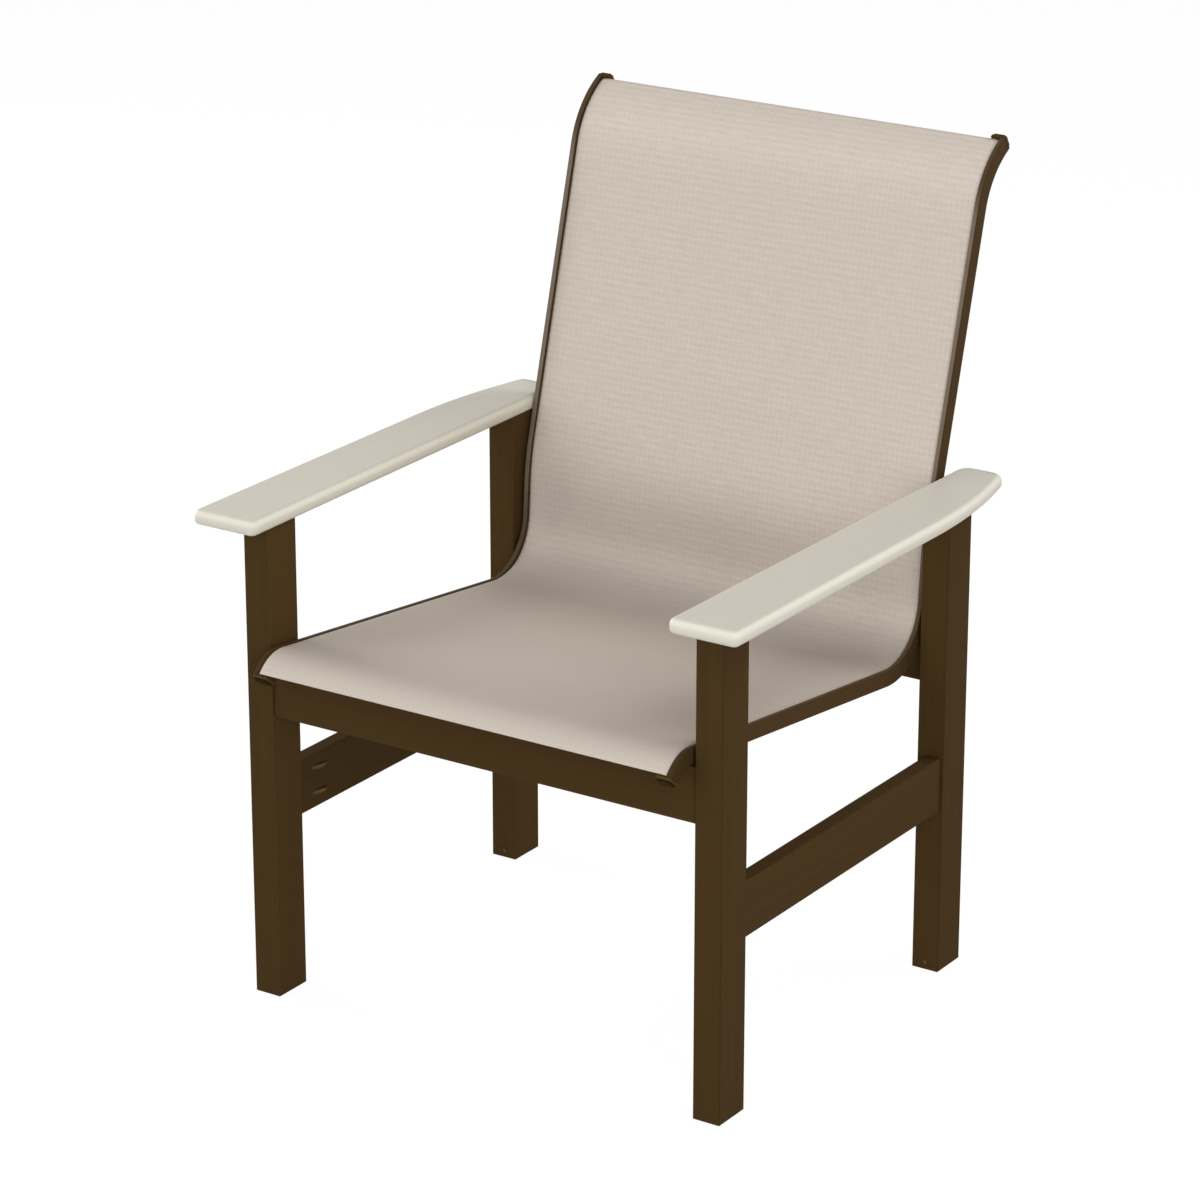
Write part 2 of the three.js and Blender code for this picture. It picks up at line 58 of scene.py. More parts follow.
def stand_off(thing, aim, azimuth, elevation, distance):
    """Stands a camera or lamp off the chair, turned to the aim. Azimuth 0 is straight in front."""
    outward = Vector((
        math.sin(azimuth) * math.cos(elevation),
        -math.cos(azimuth) * math.cos(elevation),
        math.sin(elevation),
    ))
    thing.location = aim + outward * distance
    thing.rotation_euler = (-outward).to_track_quat("-Z", "Y").to_euler()
    bpy.context.scene.collection.objects.link(thing)


camera = bpy.data.objects.new("camera", bpy.data.cameras.new("camera"))
stand_off(camera, camera_target, camera_azimuth, camera_elevation, camera_distance)
camera.data.sensor_width = camera_sensor_mm
camera.data.lens = camera_lens_mm
bpy.context.scene.camera = camera

# Posts
# Each leg is one board of solid plastic lumber, from the floor to the arm board that it carries.
# The maker planes it square, breaks its long edges with a small round and eases its sawn foot.
X, Y, Z = range(3)
SIDES = {"left": 1, "right": -1}
ENDS = {"front": -1, "rear": 1}
lumber_arris = 0.0015
saw_edge = 0.0004
foot_round = 0.0012
level_slack = 0.00004
soft_angle = math.radians(32)
round_sides = 48
brown = (0.0610, 0.0344, 0.0109)
lighter_lumber = (0.135, 0.088, 0.040)
arris_shade = 0.16
pattern_span = (0.3, 0.7)
grain_stretch = 0.03
grain_relief = 0.00012
peg_hole_radius = 0.0031
peg_hole_depth = 0.0013
peg_hole_height = 0.010
glide_recess_radius = 0.0113
glide_recess_depth = 0.0024
inner_facing = 0.3
# Painted light on the posts' inner faces: a negative shade lightens them.
inner_face_painted_light = -1.2


def new_material(name, colour, roughness, specular):
    material = bpy.data.materials.new(name)
    material.use_nodes = True
    shader = material.node_tree.nodes["Principled BSDF"]
    shader.inputs["Base Color"].default_value = (*colour, 1)
    shader.inputs["Roughness"].default_value = roughness
    shader.inputs["Specular IOR Level"].default_value = specular
    return material, shader


def feed(paint, socket, value):
    """Links an output to a socket of a material or the world, or sets the socket to a constant."""
    if isinstance(value, bpy.types.NodeSocket):
        paint.node_tree.links.new(value, socket)
    else:
        socket.default_value = value


def add_node(paint, kind, **inputs):
    node = paint.node_tree.nodes.new(kind)
    for name, value in inputs.items():
        feed(paint, node.inputs[name.replace("_", " ")], value)
    return node


def noise(material, scale, detail, stretch=(1, 1, 1)):
    """A noise on the piece's own coordinates, drawn out where the stretch is small."""
    place = add_node(material, "ShaderNodeTexCoord").outputs["Object"]
    drawn = add_node(material, "ShaderNodeMapping", Vector=place, Scale=stretch).outputs["Vector"]
    return add_node(
        material, "ShaderNodeTexNoise", Vector=drawn, Scale=scale, Detail=detail
    ).outputs["Fac"]


def shade_ramp(material, pattern, colour, contrast):
    """A colour that a pattern lightens and darkens by the contrast."""
    ramp = add_node(material, "ShaderNodeValToRGB", Fac=pattern)
    shades = (1 - contrast, 1 + contrast)
    for stop, position, shade in zip(ramp.color_ramp.elements, pattern_span, shades):
        stop.position = position
        stop.color = (*[c * shade for c in colour], 1)
    return ramp.outputs["Color"]


def mix_colours(material, factor, first, second, blend_type="MIX", clamped=True):
    """A mix of two colours. The Mix node's colours are known by their place among its sockets."""
    mix = add_node(material, "ShaderNodeMix")
    mix.data_type = "RGBA"
    mix.blend_type = blend_type
    mix.clamp_factor = clamped
    feed(material, mix.inputs["Factor"], factor)
    feed(material, mix.inputs[6], first)
    feed(material, mix.inputs[7], second)
    return mix.outputs[2]


def mixed_by(material, attribute, plain, marked):
    """Goes from the plain colour at 0 to the marked one at 1, and on past both, by an attribute."""
    reader = add_node(material, "ShaderNodeAttribute")
    reader.attribute_name = attribute
    return mix_colours(material, reader.outputs["Fac"], plain, marked, clamped=False)


def emboss(material, shader, height, distance, strength=1.0):
    bump = add_node(
        material, "ShaderNodeBump", Height=height, Distance=distance, Strength=strength
    )
    feed(material, shader.inputs["Normal"], bump.outputs["Normal"])


def lumber(name, colour, along, painted_colour, roughness=0.7, specular=0.03, contrast=0.05):
    """Solid plastic lumber, its faint grain drawn along one axis, and painted light and shade mixed
    in towards another colour by an attribute.
    """
    material, shader = new_material(name, colour, roughness, specular)
    stretch = [1.0, 1.0, 1.0]
    stretch[along] = grain_stretch
    grain = noise(material, scale=90, detail=5, stretch=stretch)
    faces = [shade_ramp(material, grain, shade, contrast) for shade in (colour, painted_colour)]
    feed(material, shader.inputs["Base Color"], mixed_by(material, "painted_light_and_shade", *faces))
    scratches = noise(material, scale=420, detail=4, stretch=stretch)
    emboss(material, shader, scratches, grain_relief)
    return material


def finish_mesh(name, bm, material, replaced):
    """Turns a bmesh into a smooth-shaded piece that stands for CAD nodes."""
    bmesh.ops.recalc_face_normals(bm, faces=bm.faces)
    mesh = bpy.data.meshes.new(name)
    bm.to_mesh(mesh)
    bm.free()
    mesh.polygons.foreach_set("use_smooth", [True] * len(mesh.polygons))
    mesh.set_sharp_from_angle(angle=soft_angle)
    mesh.materials.append(material)
    piece = bpy.data.objects.new(name, mesh)
    bpy.context.scene.collection.objects.link(piece)
    even = piece.modifiers.new("even_normals", "WEIGHTED_NORMAL")
    even.keep_sharp = True
    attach(piece, "root")
    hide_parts(*replaced)
    return piece


def axis_vector(axis, length=1):
    vector = Vector((0, 0, 0))
    vector[axis] = length
    return vector


def add_cylinder(bm, start, direction, radius, length, segments=round_sides):
    """A round bar whose first end is centred on the start."""
    turn = direction.to_track_quat("Z", "Y").to_matrix().to_4x4()
    place = Matrix.Translation(start + direction * length / 2) @ turn
    bmesh.ops.create_cone(
        bm,
        cap_ends=True,
        segments=segments,
        radius1=radius,
        radius2=radius,
        depth=length,
        matrix=place,
    )


def lying_at(parts, axis, level, within=level_slack):
    """The edges or faces that lie flat across an axis, at a level."""
    return [part for part in parts if all(abs(v.co[axis] - level) < within for v in part.verts)]


def round_edges(bm, edges, radius, segments):
    """Rounds edges over and returns the faces of the round."""
    return bmesh.ops.bevel(
        bm,
        geom=edges,
        offset=radius,
        segments=segments,
        profile=0.5,
        affect="EDGES",
        material=-1,
    )["faces"]


def cut(bm, cutters):
    """Cuts the cutters out of the bmesh with an exact boolean."""
    objects = []
    for name, source in (("blank", bm), ("cutter", cutters)):
        mesh = bpy.data.meshes.new(name)
        source.to_mesh(mesh)
        source.free()
        objects.append(bpy.data.objects.new(name, mesh))
        bpy.context.scene.collection.objects.link(objects[-1])
    blank, cutter = objects
    boolean = blank.modifiers.new("cut", "BOOLEAN")
    boolean.operation = "DIFFERENCE"
    boolean.solver = "EXACT"
    boolean.object = cutter
    carved = bmesh.new()
    carved.from_object(blank, bpy.context.evaluated_depsgraph_get())
    for made in objects:
        mesh = made.data
        bpy.data.objects.remove(made)
        bpy.data.meshes.remove(mesh)
    return carved


def sawn_board(node, along, foot=saw_edge, dark_arris=False):
    """A board of the CAD node's box, rounded on its long edges and broken at its sawn ends."""
    low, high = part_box(node)
    bm = bmesh.new()
    bmesh.ops.create_cube(bm, size=1)
    bmesh.ops.scale(bm, vec=high - low, verts=bm.verts)
    bmesh.ops.translate(bm, vec=(low + high) / 2, verts=bm.verts)
    painted_light_and_shade = bm.faces.layers.float.new("painted_light_and_shade")
    long_edges = [e for e in bm.edges if abs((e.verts[0].co - e.verts[1].co)[along]) > saw_edge]
    # With dark_arris set, the rounds are marked for painted shade.
    for face in round_edges(bm, long_edges, lumber_arris, segments=6):
        face[painted_light_and_shade] = float(dark_arris)
    for end, broken in ((low[along], foot), (high[along], saw_edge)):
        round_edges(bm, lying_at(bm.edges, along, end), broken, segments=4)
    return bm


# Painted shade darkens the rounds of the posts' long edges, and painted light lightens their inner
# faces, which the chair shades.
painted_shade_brown = [c * (1 - arris_shade) for c in brown]
post_lumber = lumber("brown_lumber_upright", brown, Z, painted_shade_brown)
hole_lumber = lumber("lighter_lumber", lighter_lumber, Z, lighter_lumber)
for end in ENDS:
    for side, x in SIDES.items():
        node = f"{end}_{side}_post"
        low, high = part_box(node)
        middle = (low + high) / 2
        recess = Vector((middle.x, middle.y, low.z - glide_recess_depth))
        cutters = bmesh.new()
        add_cylinder(cutters, recess, axis_vector(Z), glide_recess_radius, 2 * glide_recess_depth)
        hole_bottom = Vector((middle.x, low.y + peg_hole_depth, peg_hole_height))
        if end == "rear":
            mouth = hole_bottom - axis_vector(Y, 2 * peg_hole_depth)
            add_cylinder(cutters, mouth, axis_vector(Y), peg_hole_radius, 2 * peg_hole_depth)
        board = cut(sawn_board(node, Z, foot=foot_round, dark_arris=True), cutters)
        painted_light_and_shade = board.faces.layers.float["painted_light_and_shade"]
        board.normal_update()
        for face in board.faces:
            in_hole = (face.calc_center_median() - hole_bottom).length < peg_hole_radius
            face.material_index = int(end == "rear" and in_hole)
            # Painted light on the inner face and on the rounds turned towards it.
            if face.normal.x * x < -inner_facing:
                face[painted_light_and_shade] = inner_face_painted_light
        leg = finish_mesh(f"{end}_{side}_leg_board", board, post_lumber, [node])
        leg.data.materials.append(hole_lumber)

# Side stretchers
# Two boards of the same lumber tie the front and rear posts. They are screwed on from slanted
# pockets, bored two by two in the inner face near each end.
pocket_angle = math.radians(17)
pocket_radius = 0.0046
pocket_to_end = 0.022
pocket_reach = 0.050
pocket_spacing = 0.033
pocket_exit_past_middle = 0.0052
# Painted shade on the pockets' roofs and painted light on their floors, as if lit from above.
pocket_roof_shade = -0.4
pocket_floor_shade = 1.5
pocket_floor_from = (-0.1, 0.45)
pocket_screws = {}


def ease(value, start, end):
    """Goes smoothly from 0 at the start to 1 at the end."""
    share = min(max((value - start) / (end - start), 0.0), 1.0)
    return share * share * (3 - 2 * share)


def pocket_seats(end_centre, outward, inner):
    """Where the two screws of a board's end sit, and the way that they run."""
    run = outward * math.cos(pocket_angle) - inner * math.sin(pocket_angle)
    leaves = end_centre - inner * pocket_exit_past_middle
    seats = {}
    for row, up in (("upper", 1), ("lower", -1)):
        seats[row] = leaves + axis_vector(Z, up * pocket_spacing / 2) - run * pocket_to_end
    return seats, run


def screwed_board(node, name, along, inner, ends, screws, material):
    """A board with two pockets near each end: painted light lightens their floors and painted shade
    darkens their roofs.
    """
    low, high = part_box(node)
    cutters = bmesh.new()
    for end, way in ends.items():
        end_centre = (low + high) / 2
        end_centre[along] = high[along] if way > 0 else low[along]
        seats, run = pocket_seats(end_centre, axis_vector(along, way), inner)
        for row, seat in seats.items():
            add_cylinder(cutters, seat, -run, pocket_radius, pocket_reach)
            pocket_screws[f"{screws}_{end}_{row}_screw"] = (seat, run)
    # Painted light on the upward-facing floors of the pockets, painted shade on their roofs.
    cutters.normal_update()
    painted_light_and_shade = cutters.faces.layers.float.new("painted_light_and_shade")
    for face in cutters.faces:
        floor_share = ease(-face.normal.z, *pocket_floor_from)
        face[painted_light_and_shade] = pocket_roof_shade + (pocket_floor_shade - pocket_roof_shade) * floor_share
    board = cut(sawn_board(node, along), cutters)
    finish_mesh(name, board, material, [node])


stretcher_lumber = lumber("brown_lumber_lengthwise", brown, Y, lighter_lumber)
for side, x in SIDES.items():
    node = f"{side}_stretcher"
    inner = axis_vector(X, -x)
    screwed_board(node, f"{side}_side_board", Y, inner, ENDS, node, stretcher_lumber)

# Cross rails
# Two boards run under the seat from post to post. Their pockets face the middle of the seat,
# so nothing shows on the front one's face.
cross_lumber = lumber("brown_lumber_crosswise", brown, X, lighter_lumber)
for end, y in ENDS.items():
    node = f"{end}_cross_rail"
    inner = axis_vector(Y, -y)
    screwed_board(node, f"{end}_seat_board", X, inner, SIDES, f"{end}_rail", cross_lumber)

# Arm boards
# Broad flat boards in the pale colour, straight inside and curved in at the outer rear. A router
# rounds them over all round, top and bottom, and studs hold them on the posts.
arm_upper_round = 0.0085
arm_lower_round = 0.0064
arm_taper_radius = 0.760
arm_taper_length = 0.200
arm_taper_steps = 24
arm_front_corner = 0.009
arm_rear_corner = 0.019
arm_rail_gap = 0.002
arm_strips = 18
arm_weld = 0.0003
# Painted highlight on the upper round-over and painted shade on the lower band of the edge.
arm_painted_highlight = 1.26
arm_lower_painted_shade = -0.22
arm_highlight_rises = (0.0, 0.12)
arm_highlight_falls = (0.16, 0.60)
pale = (0.680, 0.647, 0.556)


def round_corner(bm, vertex, radius, segments=10):
    """Rounds one corner of a flat outline."""
    before, after = [(e.other_vert(vertex).co - vertex.co).normalized() for e in vertex.link_edges]
    half_turn = (math.pi - before.angle(after)) / 2
    bmesh.ops.bevel(
        bm,
        geom=[vertex],
        offset=radius * math.tan(half_turn),
        segments=segments,
        profile=0.5,
        affect="VERTICES",
        material=-1,
    )


def verts_among(geometry):
    return [part for part in geometry if isinstance(part, bmesh.types.BMVert)]


def cut_in_strips(bm, front, rear):
    """Scores an arm board across at even steps, so that no flat face splits into long slivers."""
    for strip in range(1, arm_strips):
        bmesh.ops.bisect_plane(
            bm,
            geom=[*bm.verts, *bm.edges, *bm.faces],
            dist=arm_weld,
            plane_co=axis_vector(Y, front + (rear - front) * strip / arm_strips),
            plane_no=axis_vector(Y),
        )


def arm_board(side, x):
    """One arm board, made on the left and turned over for the right."""
    low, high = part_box(f"{side}_arm")
    outer = high.x if x > 0 else -low.x
    inner = low.x if x > 0 else -high.x
    inner_rear = max(abs(corner.x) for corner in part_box(f"{side}_sling_rail")) + arm_rail_gap
    taper_start = high.y - arm_taper_length
    bm = bmesh.new()
    corners = ((inner, low.y), (outer, low.y), (outer, taper_start))
    outline = [bm.verts.new((across, along, high.z)) for across, along in corners]
    swept = bmesh.ops.spin(
        bm,
        geom=[outline[-1]],
        cent=(outer - arm_taper_radius, taper_start, high.z),
        axis=axis_vector(Z),
        angle=math.asin(arm_taper_length / arm_taper_radius),
        steps=arm_taper_steps,
        use_duplicate=False,
    )
    rear_outer = verts_among(swept["geom_last"])[0]
    rear_inner = bm.verts.new((inner_rear, high.y, high.z))
    for pair in (outline[:2], outline[1:], (rear_outer, rear_inner), (rear_inner, outline[0])):
        bm.edges.new(pair)
    bmesh.ops.contextual_create(bm, geom=bm.edges[:])
    for vertex in outline[:2]:
        round_corner(bm, vertex, arm_front_corner)
    for vertex in (rear_outer, rear_inner):
        round_corner(bm, vertex, arm_rear_corner)
    grown = bmesh.ops.extrude_face_region(bm, geom=bm.faces[:], use_keep_orig=True)
    bmesh.ops.translate(bm, vec=(0, 0, low.z - high.z), verts=verts_among(grown["geom"]))
    for level, round_over in ((high.z, arm_upper_round), (low.z, arm_lower_round)):
        round_edges(bm, lying_at(bm.edges, Z, level), round_over, segments=10)
        flat = [v for v in bm.verts if abs(v.co.z - level) < level_slack]
        bmesh.ops.remove_doubles(bm, verts=flat, dist=arm_weld)
    cut_in_strips(bm, low.y, high.y)
    # Painted highlight on the upper round-over, fading down the edge to painted shade on its lower
    # band.
    highlight_mark = bm.verts.layers.float.new("painted_light_and_shade")
    for vertex in bm.verts:
        down = (high.z - vertex.co.z) / (high.z - low.z)
        fall = 1 - (1 - arm_lower_painted_shade) * ease(down, *arm_highlight_falls)
        vertex[highlight_mark] = ease(down, *arm_highlight_rises) * fall
    bmesh.ops.scale(bm, vec=(x, 1, 1), verts=bm.verts)
    return bm


highlighted_pale = [c * arm_painted_highlight for c in pale]
arm_lumber = lumber("pale_lumber", pale, Y, highlighted_pale, roughness=0.5, specular=0.14, contrast=0.012)
for side, x in SIDES.items():
    node = f"{side}_arm"
    finish_mesh(f"{node}_board", arm_board(side, x), arm_lumber, [node])

# Sling rails
# Extruded aluminium bars, powder-coated brown. Each is drawn straight with a lip, a spline channel
# and a box behind, then bent four times: at the seat's front and back, the loins and the head.
seat_corner_overhang = 0.0232
seat_corner_height = 0.4628
seat_back_in_from_rear = 0.046
run_angles = [math.radians(a) for a in (52.3, -6.2, 90 - 4.1, 90 - 15.2, 90 - 59.3)]
front_drop_length = 0.0289
lower_back_length = 0.1451
upper_back_length = 0.4529
head_length = 0.0544
sling_to_rail_end = 0.0018
bend_radii = (0.0523, 0.070, 0.310, 0.118)
bend_step = 0.004
rail_width = 0.020
rail_depth = 0.0205
rail_wall = 0.002
lip_width = 0.0064
lip_depth = 0.0056
slot_gap = 0.0022
channel_width = 0.0063
channel_depth = 0.0066
outer_round = 0.0016
lip_round = 0.0009
lip_inner_round = 0.0002
channel_round = 0.0006
slot_round = 0.0003
rail_brown = (0.0605, 0.0344, 0.0115)
lip_sheen_grey = (0.180, 0.142, 0.106)
coat_contrast = 0.04
coat_relief = 0.00006
seat_lip_sheen = 0.22
seat_sheen_rises = (0.07, 0.16)
back_lip_sheen = 0.78
back_sheen_rises = (0.56, 0.70)
back_sheen_falls = (1.06, 1.12)

chair_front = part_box("front_left_post")[0].y
chair_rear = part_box("rear_left_post")[1].y
rail_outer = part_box("left_sling_rail")[1].x
seat_corner = Vector((0, chair_front - seat_corner_overhang, seat_corner_height))
seat_reach = chair_rear - seat_back_in_from_rear - seat_corner.y
run_lengths = (
    front_drop_length + sling_to_rail_end,
    seat_reach / math.cos(run_angles[1]),
    lower_back_length,
    upper_back_length,
    head_length + sling_to_rail_end,
)
channel_back = lip_depth + channel_depth
channel_inner = rail_wall + channel_width
slot_back = lip_depth + slot_gap
rail_corners = (
    ((0, 0), outer_round),
    ((lip_width, 0), lip_round),
    ((lip_width, lip_depth), lip_inner_round),
    ((rail_wall, lip_depth), lip_inner_round),
    ((rail_wall, channel_back), channel_round),
    ((channel_inner, channel_back), channel_round),
    ((channel_inner, slot_back), slot_round),
    ((rail_width, slot_back), outer_round),
    ((rail_width, rail_depth), outer_round),
    ((0, rail_depth), outer_round),
)


def heading(angle):
    return Vector((0, math.cos(angle), math.sin(angle)))


def sling_stretches():
    """The rail's line as stretches of length, first angle and turn per metre."""
    stretches = []
    used = 0.0
    for i, radius in enumerate(bend_radii):
        turn = run_angles[i + 1] - run_angles[i]
        tangent = radius * math.tan(abs(turn) / 2)
        stretches.append((run_lengths[i] - used - tangent, run_angles[i], 0.0))
        stretches.append((radius * abs(turn), run_angles[i], math.copysign(1 / radius, turn)))
        used = tangent
    stretches.append((run_lengths[-1] - used, run_angles[-1], 0.0))
    return stretches


stretches = sling_stretches()
rail_length = sum(length for length, _, _ in stretches)
rail_tip = seat_corner - heading(run_angles[0]) * run_lengths[0]


def on_sling_line(distance):
    """The point of the lip's line at a distance from the front tip, and its heading's angle."""
    point = rail_tip.copy()
    left = distance
    for i, (length, angle, curve) in enumerate(stretches):
        step = left if i == len(stretches) - 1 else min(left, length)
        turned = angle + curve * step
        if curve:
            point += (heading(turned - math.pi / 2) - heading(angle - math.pi / 2)) / curve
        else:
            point += heading(angle) * step
        left -= step
        if left <= 0:
            break
    return point, turned


def bend_to_chair(bm):
    """Bends a straight piece to the rail: its Y runs along the line, and its Z stands off the lip."""
    for vertex in bm.verts:
        point, angle = on_sling_line(vertex.co.y)
        bent = point + heading(angle + math.pi / 2) * vertex.co.z
        vertex.co = Vector((vertex.co.x, bent.y, bent.z))


def rail_section(bm, corners, segments):
    """A flat face across the line with rounded corners, each given inward and back from the lip."""
    outline = [bm.verts.new((rail_outer - inward, 0, -back)) for (inward, back), _ in corners]
    bm.faces.new(outline)
    for vertex, (_, radius) in zip(outline, corners):
        round_corner(bm, vertex, radius, segments)
    bm.faces.ensure_lookup_table()
    return bm.faces[0]


def draw_out(bm, face, start, end, steps=1):
    """Draws a flat face out along Y in even steps, as a closed bar."""
    bmesh.ops.translate(bm, vec=(0, start, 0), verts=face.verts[:])
    rim = face.edges[:]
    for _ in range(steps):
        grown = bmesh.ops.extrude_edge_only(bm, edges=rim)["geom"]
        far = set(verts_among(grown))
        bmesh.ops.translate(bm, vec=(0, (end - start) / steps, 0), verts=list(far))
        edges = [part for part in grown if isinstance(part, bmesh.types.BMEdge)]
        rim = [edge for edge in edges if far.issuperset(edge.verts)]
    bmesh.ops.contextual_create(bm, geom=rim)


def lip_sheen(distance):
    """How much painted grey sheen the lip's face carries: a little on the seat, most on the back."""
    back = ease(distance, *back_sheen_rises) * (1 - ease(distance, *back_sheen_falls))
    return seat_lip_sheen * ease(distance, *seat_sheen_rises) + back_lip_sheen * back


def rail_bar(x):
    """One rail, made on the left and turned over for the right."""
    bm = bmesh.new()
    section = rail_section(bm, rail_corners, segments=4)
    draw_out(bm, section, 0.0, rail_length, round(rail_length / bend_step))
    # The lip's face carries a painted grey sheen, little on the seat and most on the back.
    painted_sheen = bm.faces.layers.float.new("painted_sheen")
    for face in bm.faces:
        middle = face.calc_center_median()
        inward = rail_outer - middle.x
        on_lip = middle.z > -lip_round and outer_round / 2 < inward < lip_width
        face[painted_sheen] = lip_sheen(middle.y) if on_lip else 0.0
    bend_to_chair(bm)
    bmesh.ops.scale(bm, vec=(x, 1, 1), verts=bm.verts)
    return bm


coat, coat_shader = new_material("brown_powder_coat", rail_brown, roughness=0.65, specular=0.04)
speckle = noise(coat, scale=60, detail=3)
coat_faces = [shade_ramp(coat, speckle, shade, coat_contrast) for shade in (rail_brown, lip_sheen_grey)]
feed(coat, coat_shader.inputs["Base Color"], mixed_by(coat, "painted_sheen", *coat_faces))
emboss(coat, coat_shader, noise(coat, scale=900, detail=2), coat_relief)
for side, x in SIDES.items():
    finish_mesh(f"{side}_bent_rail", rail_bar(x), coat, [f"{side}_sling_rail"])

# Rail end caps
# Moulded plastic caps close the rails at the seat's front and at the top. A domed plate covers the
# whole end, and a plug holds it in the box, with a fine joint between plate and rail.
cap_thickness = 0.0032
cap_proud = 0.0004
cap_joint = 0.0007
cap_neck_inset = 0.0011
cap_rim = 0.0019
cap_crowns = ((0.0026, 0.0010), (0.0030, 0.0006))
cap_corner = 0.0034
cap_black = (0.066, 0.0385, 0.0140)
# Painted shade for the front caps' end faces, and a painted highlight on every cap's rim, where a
# negative shade lightens.
cap_shaded = (0.030, 0.0160, 0.0036)
cap_rim_shade = -0.7
cap_contrast = 0.06
cap_relief = 0.00004
cap_plastic, cap_shader = new_material(
    "dark_moulded_plastic", cap_black, roughness=0.75, specular=0.02
)
cap_grain = noise(cap_plastic, scale=220, detail=3)
cap_faces = [
    shade_ramp(cap_plastic, cap_grain, shade, cap_contrast) for shade in (cap_black, cap_shaded)
]
feed(cap_plastic, cap_shader.inputs["Base Color"], mixed_by(cap_plastic, "crown", *cap_faces))
emboss(cap_plastic, cap_shader, noise(cap_plastic, scale=1500, detail=2), cap_relief)


def corners_of(faces):
    return list({vertex for face in faces for vertex in face.verts})


def end_plate(bm, margin, corner, start, end):
    """A plate across the rail's end, larger than its section by the margin all round."""
    outer, inner, back = -margin, rail_width + margin, rail_depth + margin
    corners = ((outer, outer), (inner, outer), (inner, back), (outer, back))
    section = rail_section(bm, [(place, corner) for place in corners], segments=8)
    draw_out(bm, section, start, end)


def end_cap(x, outward):
    """One cap: its outward sign is -1 at the front tip and 1 at the top."""
    rail_end = rail_length if outward > 0 else 0.0
    start = rail_end + outward * cap_joint
    end = start + outward * cap_thickness
    bm = bmesh.new()
    end_plate(bm, cap_proud, cap_corner, start, end)
    round_edges(bm, lying_at(bm.edges, Y, end), cap_rim, segments=6)
    crown = lying_at(bm.faces, Y, end, within=cap_proud / 2)
    for inset, rise in cap_crowns:
        bmesh.ops.inset_region(bm, faces=crown, thickness=inset, depth=0.0)
        bmesh.ops.translate(bm, vec=(0, outward * rise, 0), verts=corners_of(crown))
    neck = bmesh.new()
    neck_ends = (rail_end - outward * cap_joint, start + outward * cap_joint)
    end_plate(neck, -cap_neck_inset, cap_neck_inset, *neck_ends)
    shell = bpy.data.meshes.new("neck")
    neck.to_mesh(shell)
    neck.free()
    bm.from_mesh(shell)
    bpy.data.meshes.remove(shell)
    # Painted shade on the front caps' end faces and a painted highlight on every cap's rim.
    painted_cap_shade = bm.faces.layers.float.new("crown")
    bm.normal_update()
    for face in bm.faces:
        level = face.normal.y ** 2
        face[painted_cap_shade] = cap_rim_shade * (1 - level) + level * (outward < 0)
    bend_to_chair(bm)
    bmesh.ops.scale(bm, vec=(x, 1, 1), verts=bm.verts)
    return bm


for side, x in SIDES.items():
    for place, outward in (("front", -1), ("top", 1)):
        node = f"{side}_{place}_cap"
        name = f"{side}_{place}_end_cap"
        finish_mesh(name, end_cap(x, outward), cap_plastic, [node])

# Sling
# One sheet of vinyl-coated polyester mesh, woven in fine ribs across the chair. Splines pull its
# sewn edges into the rails' slots, so it is tight as a drum from rail to rail.
cloth_thickness = 0.0012
cloth_edge_in_slot = 0.0009
cloth_columns = 180
cloth_rows = 300
column_crowding = 2.2
seat_shoulder = (0.012, 4.0)
back_shoulder = (0.010, 2.2)
seat_rise = -0.0005
back_set_in = 0.0046
top_set_in = 0.0024
seat_blend = (0.505, 0.575)
top_blend = (0.985, 1.130)
sand = (0.612, 0.537, 0.468)
rib_pitch = 0.0088
column_pitch = 0.00707
yarns_in_rib = 6
yarns_in_column = 5
weft_slub = (0.024, 0.0028)
warp_slub = (0.0024, 0.016)
unit_wave = math.pi / 10
pattern_weights = (0.12, 0.07, 0.42, 0.23, 0.08, 0.08)
weave_contrast = 0.097
weave_relief = 0.00022
weave_relief_share = 0.6
worn_flat = 0.72
# Painted shade on the seat beside the rails, where the arms shade it.
edge_shade = 0.89
edge_shade_span = (0.12, 0.27)
front_edge_shade_span = (0.012, 0.13)
# Painted light and shade along the sling by distance from the front tip: lighter at the very front
# and the head roll, darker behind the front curl and in the loin bend.
painted_shades_along_sling = (
    (0.0, 1.06),
    (0.015, 1.03),
    (0.04, 0.87),
    (0.07, 0.885),
    (0.16, 0.90),
    (0.25, 0.935),
    (0.31, 0.97),
    (0.34, 0.985),
    (0.40, 0.955),
    (0.46, 0.88),
    (0.49, 0.83),
    (0.52, 0.785),
    (0.55, 0.81),
    (0.58, 0.96),
    (0.61, 0.87),
    (0.64, 0.875),
    (0.67, 0.96),
    (0.70, 1.04),
    (0.73, 1.06),
    (0.79, 1.035),
    (0.94, 1.015),
    (1.06, 1.015),
    (1.09, 1.05),
    (1.12, 1.15),
    (1.15, 1.17),
    (1.18, 1.14),
)


def cloth_depth(across, along):
    """How far the cloth's face lies behind the lip: flush on the seat, set in on the back."""
    from_edge = max(rail_outer - lip_width - abs(across), 0.0)
    slot_depth = lip_depth + (slot_gap - cloth_thickness) / 2
    on_back = ease(along, *seat_blend)
    middle = seat_rise + (back_set_in - seat_rise) * on_back
    middle += (top_set_in - back_set_in) * ease(along, *top_blend)
    width, squareness = [a + (b - a) * on_back for a, b in zip(seat_shoulder, back_shoulder)]
    share = min(from_edge / width, 1.0)
    rise = (1 - (1 - share) ** squareness) ** (1 / squareness)
    return slot_depth + (middle - slot_depth) * rise


